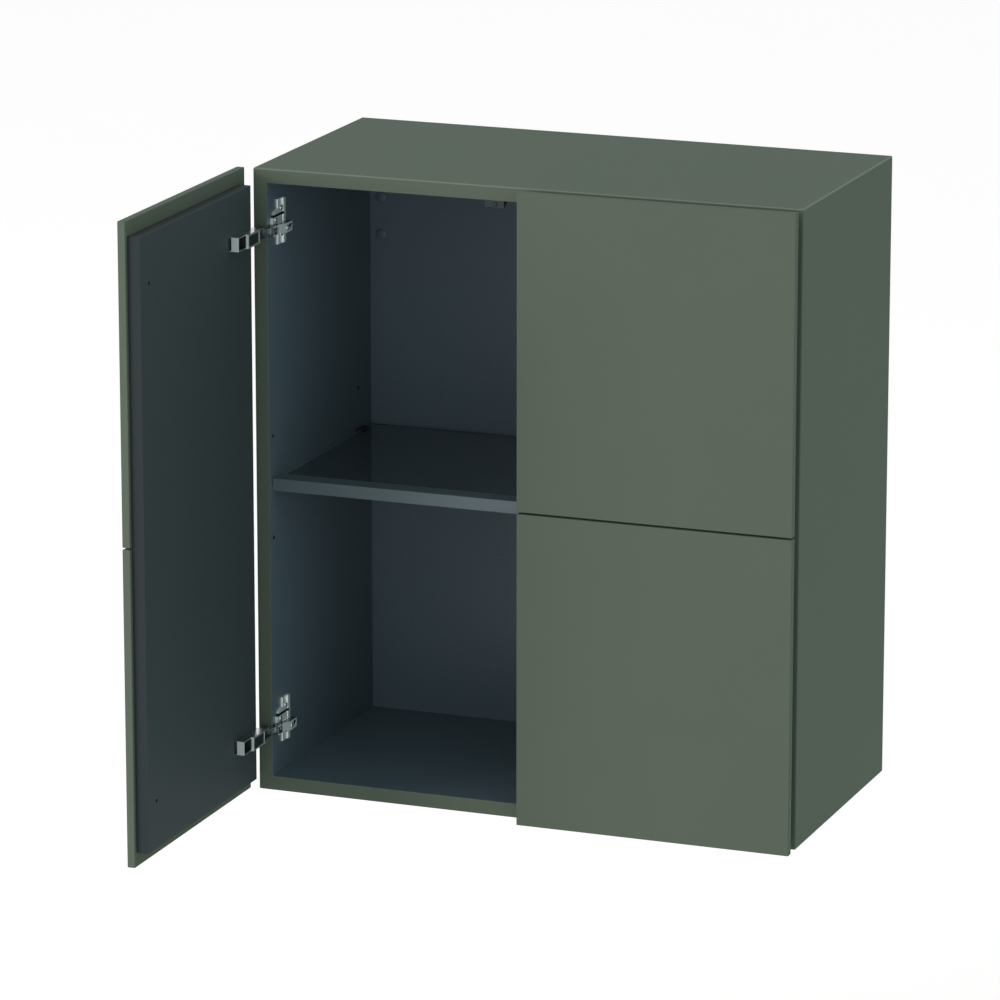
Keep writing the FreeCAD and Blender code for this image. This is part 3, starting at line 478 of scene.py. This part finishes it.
def carcass_ring():
    """The four boards as one tube with rounded outer edges and a lightly rounded mouth."""
    bm = bmesh.new()
    rings = {}
    for name, inset in (("outer", 0), ("inner", board)):
        x0, x1 = carcass_low.x + inset, carcass_high.x - inset
        z0, z1 = carcass_low.z + inset, carcass_high.z - inset
        for end, y in (("front", carcass_low.y), ("back", carcass_high.y)):
            corners = [(x0, z0), (x1, z0), (x1, z1), (x0, z1)]
            rings[name, end] = [bm.verts.new((x, y, z)) for x, z in corners]
    walls = [
        (rings["outer", "front"], rings["outer", "back"]), (rings["inner", "back"], rings["inner", "front"]),
        (rings["inner", "front"], rings["outer", "front"]), (rings["outer", "back"], rings["inner", "back"])]
    for first, second in walls:
        for corner in range(4):
            after = (corner + 1) % 4
            bm.faces.new((first[corner], first[after], second[after], second[corner]))
    bmesh.ops.recalc_face_normals(bm, faces=bm.faces)
    outer_verts = set(rings["outer", "front"] + rings["outer", "back"])
    mouth_verts = set(rings["inner", "front"])
    mouth = [edge for edge in bm.edges if set(edge.verts) <= mouth_verts]
    rounded(bm, mouth, OPENING_EDGE, SMALL_STEPS)
    outer = [edge for edge in bm.edges if set(edge.verts) <= outer_verts]
    return rounded(bm, outer, CARCASS_EDGE)


def mitred_board(ring, outwards):
    """The part of the ring between the two mitres of the board whose outer side faces outwards."""
    bm = ring.copy()
    along = Vector((abs(outwards.z), 0, abs(outwards.x)))
    for end in (along, -along):
        corner = carcass_centre + carcass_half * (outwards + end)
        bisected(bm, corner, (outwards - end).normalized(), clear=True)
        rim = [edge for edge in bm.edges if edge.is_boundary]
        bmesh.ops.holes_fill(bm, edges=rim)
    bmesh.ops.recalc_face_normals(bm, faces=bm.faces)
    return bm


def middle_on(side, node):
    """The middle of the one solid of a CAD node that lies on a side of the cabinet."""
    low, high = next(box for box in islands(node) if box[0].x * INWARDS[side].x < 0)
    return (low + high) / 2


def peg_places(side):
    """Mouths of the shelf holes in one side panel."""
    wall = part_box("shelf_glass")[SIDES.index(side)][0] - INWARDS[side].x * GLASS_EASE
    front = middle_on(side, "shelf_pins")
    rear_y = middle_on(side, "shelf_rear_clips").y - REAR_PEG_AHEAD
    lifts = (-PEG_STEP, 0, PEG_STEP)
    return [Vector((wall, y, front.z + lift)) for y in (front.y, rear_y) for lift in lifts]


def bored(bm, side):
    """A side panel with its shelf holes, whose inner faces take the dark plastic as painted shade."""
    mouths = peg_places(side)
    rods = [placed(drill(PEG_RADIUS, PEG_HOLE_DEEP), mouth, INWARDS[side]) for mouth in mouths]
    bm = carved(bm, merged(rods))
    for face in bm.faces:
        place = face.calc_center_median()
        deep = (place - mouths[0]).dot(INWARDS[side]) < -SAME_HOLE
        if deep and any((place - mouth).yz.length < PEG_RADIUS + SAME_HOLE for mouth in mouths):
            # painted shade: faces deep in a hole take the dark plastic
            face.material_index = HOLE_SHADE
    return bm


def mark_board(bm):
    """Marks the faces inside the carcass and the rounded upper edges, whose lighter lacquer is a painted
    highlight.
    """
    lip = board - SAME_PLANE
    inside_low = carcass_low + Vector((lip, FRONT_LIP, lip))
    inside_high = carcass_high - Vector((lip, REAR_LIP, lip))
    for face in bm.faces:
        if face.material_index:
            continue
        place = face.calc_center_median()
        normal = face.normal
        inside = all(low < value < high for low, value, high in zip(inside_low, place, inside_high))
        looks_in = normal.dot(carcass_centre - place) > 0 and abs(normal.y) < HALF_ALONG
        slanted = max(map(abs, normal)) < NEARLY_ALONG
        if inside or looks_in:
            face.material_index = INSIDE
        # Slanted faces that look up are the rounded upper edges, which take the lacquer's painted highlight
        elif slanted and normal.z > HARDLY_ALONG and normal.y < HARDLY_ALONG:
            face.material_index = HIGHLIT_EDGE


def build_carcass():
    """Four mitred boards, grooved for the back panel."""
    ring = carcass_ring()
    for node, outwards in BOARD_FACING.items():
        bm = carved(mitred_board(ring, outwards), block(*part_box("back_panel")))
        if node.endswith("side_panel"):
            bm = bored(bm, node.split("_")[0])
        mark_board(bm)
        piece(node + "_board", bm, "carcass", "olive_lacquer", [node], LACQUER, GRAPHITE, LACQUER_HIGHLIGHT,
              DARK_PLASTIC_AND_SHADE)
    ring.free()


# Doors
def panel_cutters(side, node):
    """Cutters for the hinge pockets and the spare holes in a door's inner panel."""
    facing = DOOR_FACING[side]
    away = DOOR_AWAY[side]
    low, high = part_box(node)
    surface = high.dot(facing)
    free_edge = max(low.dot(away), high.dot(away))
    cutters = []
    for level in LEVELS:
        cup_low, cup_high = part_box(f"{side}_{level}_hinge_cup")
        cup_start = min(cup_low.dot(away), cup_high.dot(away))
        mouth = facing * (surface + OVERSHOOT) + away * cup_start + Z_AXIS * cup_high.z
        floor = facing * (surface - CUP_DEEP) + away * (cup_start + CUP_LENGTH) + Z_AXIS * cup_low.z
        cutters.append(block(mouth, floor))
        middle = (cup_low.z + cup_high.z) / 2
        hole = facing * surface + away * (free_edge - SPARE_INSET) + Z_AXIS * middle
        cutters.append(placed(drill(SPARE_RADIUS, SPARE_DEEP), hole, facing))
    return merged(cutters)


def build_doors():
    for side in SIDES:
        body = f"{side}_door"
        for level in LEVELS:
            node = f"{side}_{level}_tile"
            piece(node + "_slab", slab(node, TILE_EDGE), body, "olive_lacquer", [node], LACQUER)
        node = f"{side}_inner_panel"
        bm = carved(slab(node, PANEL_EDGE), panel_cutters(side, node))
        for face in bm.faces:
            # Faces across the panel are its edges, which take the darker colour as painted shade
            if abs(face.normal.dot(DOOR_FACING[side])) < HALF_ALONG:
                face.material_index = SHADED_EDGE
        piece(node + "_board", bm, body, "door_board", [node], DOOR_BOARD, PANEL_EDGE_SHADE)


# Fasteners
def screw(head_radius, head_high, shank_radius, shank_deep):
    """A pan-head screw about +Z, seated at the origin, with a cross recess."""
    rim = head_high * HEAD_RIM
    shank = [(0, -shank_deep), (shank_radius * SCREW_TIP, -shank_deep),
             (shank_radius, shank_radius - shank_deep), (shank_radius, 0)]
    foot = [(head_radius * HEAD_FOOT, 0), (head_radius, head_high * HEAD_BELLY)]
    whole = turned(shank + foot + dome(head_radius, head_high - rim, CROWN_STEPS, rim))
    reach = head_radius * CROSS_REACH
    half = head_radius * CROSS_HALF
    for x, y in ((reach, half), (half, reach)):
        whole = carved(whole, block((-x, -y, head_high * CROSS_FLOOR), (x, y, head_high * 2)))
    return whole


def screw_group(node, facing, size, body, slot="hinge_nickel", material=NICKEL):
    """Cross-head screws in the place of a CAD node of screws."""
    head_high, shank_radius = size
    axis = max(range(3), key=lambda index: abs(facing[index]))
    across = (axis + 1) % 3
    screws = []
    for low, high in islands(node):
        head_radius = (high[across] - low[across]) / 2
        length = high[axis] - low[axis]
        seat = (low + high) / 2 + facing * (length / 2 - head_high)
        screws.append(placed(screw(head_radius, head_high, shank_radius, length - head_high), seat, facing))
    piece(node + "_set", merged(screws), body, slot, [node], material)


def build_fasteners():
    for side in SIDES:
        screw_group(f"{side}_plate_screws", INWARDS[side], PLATE_SCREW, "carcass")
        screw_group(f"{side}_hinge_adjusters", INWARDS[side], ADJUSTER_SCREW, "carcass")
        screw_group(f"{side}_cup_screws", DOOR_FACING[side], CUP_SCREW, f"{side}_door")
    screw_group("hanger_screws", -Y_AXIS, HANGER_SCREW, "carcass", "zinc_steel", ZINC)


def build_caps():
    """Domed caps on short stems."""
    caps = []
    for low, high in islands("hanger_caps"):
        radius = (high.x - low.x) / 2
        seat = (low + high) / 2
        seat.y = low.y + CAP_RISE
        stem = radius * CAP_STEM_SHARE
        profile = [(0, -CAP_STEM), (stem, -CAP_STEM), (stem, 0)] + dome(radius, CAP_RISE, CAP_STEPS)
        caps.append(placed(turned(profile), seat, -Y_AXIS))
    piece("hanger_cap_set", merged(caps), "carcass", "dark_plastic", ["hanger_caps"], CAP_PLASTIC)


# Hinges
def hinge_cup(side, node):
    """A cup whose hollows, bridge recess and end slot take the dark plastic as painted shade."""
    bm = softened(node, PRESSED_EDGE)
    low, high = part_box(node)
    middle = (low + high) / 2
    facing = DOOR_FACING[side]
    away = DOOR_AWAY[side]
    bridge = high.dot(facing)
    tail_rim = bridge - CUP_STEP
    end = max(low.dot(away), high.dot(away))
    panel = max(corner.dot(facing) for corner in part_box(f"{side}_inner_panel"))
    slot_top = panel + CUP_SLOT
    for level in (tail_rim, slot_top):
        bisected(bm, facing * level, facing)
    for face in bm.faces:
        place = face.calc_center_median()
        level = place.dot(facing)
        between_walls = abs(place.z - middle.z) < middle.z - low.z - CUP_WALL / 2
        before_end = place.dot(away) < end - CUP_WALL / 2
        in_recess = abs(bridge - CUP_RECESS - level) < CUP_RECESS / 2
        in_hollow = before_end and (level < tail_rim or in_recess)
        in_slot = not before_end and level < slot_top
        # painted shade: faces in the hollows, the recess and the slot take the dark plastic
        if between_walls and (in_slot or in_hollow):
            face.material_index = SHADED_HOLLOW
    return bm


def hinge_plate(side, node):
    """A plate whose cam slot takes the dark plastic as painted shade."""
    bm = softened(node, CAST_EDGE)
    arm_low, arm_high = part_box(node.replace("plate", "arm"))
    centre = (arm_low.z + arm_high.z) / 2
    top = max(corner.dot(INWARDS[side]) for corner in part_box(node))
    for face in bm.faces:
        place = face.calc_center_median()
        in_slot = CAM_SLOT_LOW < place.z - centre < CAM_SLOT_HIGH
        # painted shade: faces in the cam slot take the dark plastic
        if in_slot and place.dot(INWARDS[side]) < top - CAST_EDGE * 2:
            face.material_index = SHADED_HOLLOW
    return bm


def pin(node):
    """An upright pin with chamfered ends in the place of a CAD node."""
    low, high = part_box(node)
    radius = (high.x - low.x) / 2
    half = (high.z - low.z) / 2
    chamfer = radius * PIN_CHAMFER
    flat = radius * PIN_FLAT
    profile = [(0, -half), (flat, -half), (radius, chamfer - half), (radius, half - chamfer), (flat, half),
               (0, half)]
    return placed(turned(profile), (low + high) / 2, Z_AXIS)


def refinish(bm, ways):
    """Gives the still unmarked faces that look one of the ways the finish named with it."""
    for face in bm.faces:
        for way, index in ways:
            if not face.material_index and face.normal.dot(way) > MOSTLY_ALONG:
                face.material_index = index


def build_hinges():
    for side in SIDES:
        for level in LEVELS:
            hinge = f"{side}_{level}_hinge"
            lever_body = f"{side}_{level}_lever"
            # painted highlight: an arm's inward faces and a cup's end take the lighter nickel
            arm_ways = [(INWARDS[side], HIGHLIT_FACES)]
            # painted dark reflection: a cup's faces that look out of the door take the darker nickel
            cup_ways = [(DOOR_AWAY[side], HIGHLIT_FACES), (DOOR_FACING[side], REFLECTING_FRAMES)]
            forms = [
                ("plate", hinge_plate(side, f"{hinge}_plate"), "carcass", BRUSHED_NICKEL_AND_HIGHLIGHT, []),
                # painted dark reflection: arms, levers and pins take the darkened nickel
                ("arm", softened(f"{hinge}_arm", PRESSED_EDGE), "carcass", NICKEL_DARK_REFLECTION, arm_ways),
                ("lever", softened(f"{hinge}_lever", PRESSED_EDGE), lever_body, NICKEL_DARK_REFLECTION, []),
                ("cup", hinge_cup(side, f"{hinge}_cup"), f"{side}_door", NICKEL, cup_ways)]
            for part, bm, body, metal, ways in forms:
                node = f"{hinge}_{part}"
                refinish(bm, ways)
                piece(node + "_form", bm, body, "hinge_nickel", [node], metal, BRUSHED_NICKEL_AND_HIGHLIGHT, DARK_PLASTIC_AND_SHADE,
                      NICKEL_FRAME_REFLECTION)
            for part, body in (("pin", "carcass"), ("roller", lever_body)):
                node = f"{hinge}_{part}"
                piece(node + "_form", pin(node), body, "hinge_nickel", [node], NICKEL_DARK_REFLECTION)


# Shelf
def build_shelf():
    pane = block(*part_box("shelf_glass"))
    rounded(pane, pane.edges, GLASS_EDGE, BEVEL_STEPS)
    for face in pane.faces:
        if face.normal.y > HALF_ALONG:
            # painted shade: the glass's rear edge takes the dark rubber, a dark line at the back of the
            # shelf
            face.material_index = REAR
        elif abs(face.normal.z) < NEARLY_ALONG:
            face.material_index = GROUND
    piece("shelf_glass_pane", pane, "carcass", "tinted_glass", ["shelf_glass"], GLASS, GROUND_GLASS, PAD_RUBBER_AND_SHADE)
    piece("shelf_rail_profile", softened("shelf_front_rail", RAIL_EDGE), "carcass", "anodised_rail",
          ["shelf_front_rail"], ANODISED)
    piece("shelf_pin_pair", softened("shelf_pins", PRESSED_EDGE), "carcass", "hinge_nickel",
          ["shelf_pins"], NICKEL)
    piece("shelf_clip_pair", softened("shelf_rear_clips", MOULDED_EDGE), "carcass", "dark_plastic",
          ["shelf_rear_clips"], DARK_PLASTIC_AND_SHADE)


# Wall fixing and stops
def build_small_parts():
    for side in SIDES:
        for part in ("hanger", "wall_plate"):
            node = f"{side}_{part}"
            piece(node + "_form", softened(node, PRESSED_EDGE), "carcass", "zinc_steel", [node], ZINC)
        node = f"{side}_door_stop"
        piece(node + "_wedge", softened(node, MOULDED_EDGE), "carcass", "dark_plastic", [node], DARK_PLASTIC_AND_SHADE)
    pads = []
    for low, high in islands("door_stop_pads"):
        radius = (high.x - low.x) / 2
        thick = high.y - low.y
        seat = (low + high) / 2
        seat.y = high.y
        crown = [(radius * across, thick * up) for across, up in PAD_ROUND]
        pads.append(placed(turned([(0, 0), (radius, 0)] + crown + [(0, thick)]), seat, -Y_AXIS))
    piece("door_stop_pad_set", merged(pads), "carcass", "pad_rubber", ["door_stop_pads"], PAD_RUBBER_AND_SHADE)


def paint_back_panel():
    """The back panel keeps its CAD shape and takes the melamine finish."""
    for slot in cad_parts["back_panel"].material_slots:
        slot.material = GRAPHITE


# Studio
FLOOR_DROP = 0.45
FLOOR_SIZE = 60.0
FLOOR_SQUARES = 8
FLOOR_COLOUR = (0.72, 0.72, 0.715)
FLOOR_VARIATION = 0.005
# What the camera sees of the floor beyond its lit colour
FLOOR_GLOW = (0.58, 0.51, 0.515)
AMBIENT = 0.635
AMBIENT_COLOUR = (0.83, 1.0, 0.985)
WHITE = (1, 1, 1)
KEY_COLOUR = (1.0, 0.87, 0.90)
SIDE_COLOUR = (0.70, 0.95, 0.97)
CAMERA_PLACE = Vector((2.486, -6.892, 1.567))
CAMERA_YAW = math.radians(21.03)
CAMERA_PITCH = math.radians(14.45)
CAMERA_LENS = 216


def seen_directly(tree):
    """1 for camera, glossy and transmission rays, which see the pale background, and 0 for light."""
    path = tree.nodes.new("ShaderNodeLightPath")
    total = path.outputs["Is Camera Ray"]
    for name in ("Is Glossy Ray", "Is Transmission Ray"):
        either = tree.nodes.new("ShaderNodeMath")
        either.operation = "MAXIMUM"
        tree.links.new(total, either.inputs[0])
        tree.links.new(path.outputs[name], either.inputs[1])
        total = either.outputs["Value"]
    return total


def build_world():
    world = bpy.data.worlds.new("studio")
    world.use_nodes = True
    bpy.context.scene.world = world
    tree = world.node_tree
    ambient = tree.nodes["Background"]
    ambient.inputs["Color"].default_value = (*AMBIENT_COLOUR, 1)
    ambient.inputs["Strength"].default_value = AMBIENT
    white = tree.nodes.new("ShaderNodeBackground")
    white.inputs["Color"].default_value = (*WHITE, 1)
    mix = tree.nodes.new("ShaderNodeMixShader")
    tree.links.new(seen_directly(tree), mix.inputs["Fac"])
    tree.links.new(ambient.outputs["Background"], mix.inputs[1])
    tree.links.new(white.outputs["Background"], mix.inputs[2])
    tree.links.new(mix.outputs["Shader"], tree.nodes["World Output"].inputs["Surface"])


def build_floor():
    material, tree, shader = new_shader("studio_floor")
    clouds = noise(tree, scale=3, Detail=2.0)
    tones = two_tones(tree, clouds, shade(FLOOR_COLOUR, 1 - FLOOR_VARIATION), FLOOR_COLOUR)
    tree.links.new(tones, shader.inputs["Base Color"])
    shader.inputs["Roughness"].default_value = 1.0
    shader.inputs["Specular IOR Level"].default_value = 0.0
    shader.inputs["Emission Color"].default_value = (*FLOOR_GLOW, 1)
    tree.links.new(seen_directly(tree), shader.inputs["Emission Strength"])
    bm = bmesh.new()
    bmesh.ops.create_grid(bm, x_segments=FLOOR_SQUARES, y_segments=FLOOR_SQUARES, size=FLOOR_SIZE / 2)
    bmesh.ops.translate(bm, verts=bm.verts, vec=(0, 0, carcass_low.z - FLOOR_DROP))
    mesh = bpy.data.meshes.new("studio_floor")
    bm.to_mesh(mesh)
    bm.free()
    mesh.materials.append(material)
    floor = bpy.data.objects.new("studio_floor", mesh)
    bpy.context.scene.collection.objects.link(floor)


def softbox(name, place, size, power, colour):
    """A rectangular lamp that looks at the middle of the carcass."""
    lamp = bpy.data.lights.new(name, "AREA")
    lamp.shape = "RECTANGLE"
    lamp.size, lamp.size_y = size
    lamp.energy = power
    lamp.color = colour
    thing = bpy.data.objects.new(name, lamp)
    thing.location = place
    thing.rotation_euler = (carcass_centre - Vector(place)).to_track_quat("-Z", "Y").to_euler()
    bpy.context.scene.collection.objects.link(thing)


def build_camera():
    camera = bpy.data.cameras.new("camera")
    camera.lens = CAMERA_LENS
    viewer = bpy.data.objects.new("camera", camera)
    viewer.location = CAMERA_PLACE
    viewer.rotation_euler = (math.pi / 2 - CAMERA_PITCH, 0, CAMERA_YAW)
    bpy.context.scene.collection.objects.link(viewer)
    bpy.context.scene.camera = viewer


def build_studio():
    build_world()
    build_floor()
    softbox("key", place=(-4.0, -4.6, 1.2), size=(3.2, 2.4), power=194, colour=KEY_COLOUR)
    softbox("fill", place=(0.6, -6.0, 0.6), size=(3.2, 2.4), power=13, colour=KEY_COLOUR)
    softbox("side", place=(5.0, -2.6, 0.6), size=(2.4, 2.4), power=15, colour=SIDE_COLOUR)
    build_camera()
    bpy.context.scene.view_settings.view_transform = "Standard"


build_carcass()
build_doors()
build_fasteners()
build_caps()
build_hinges()
build_shelf()
build_small_parts()
paint_back_panel()
build_studio()
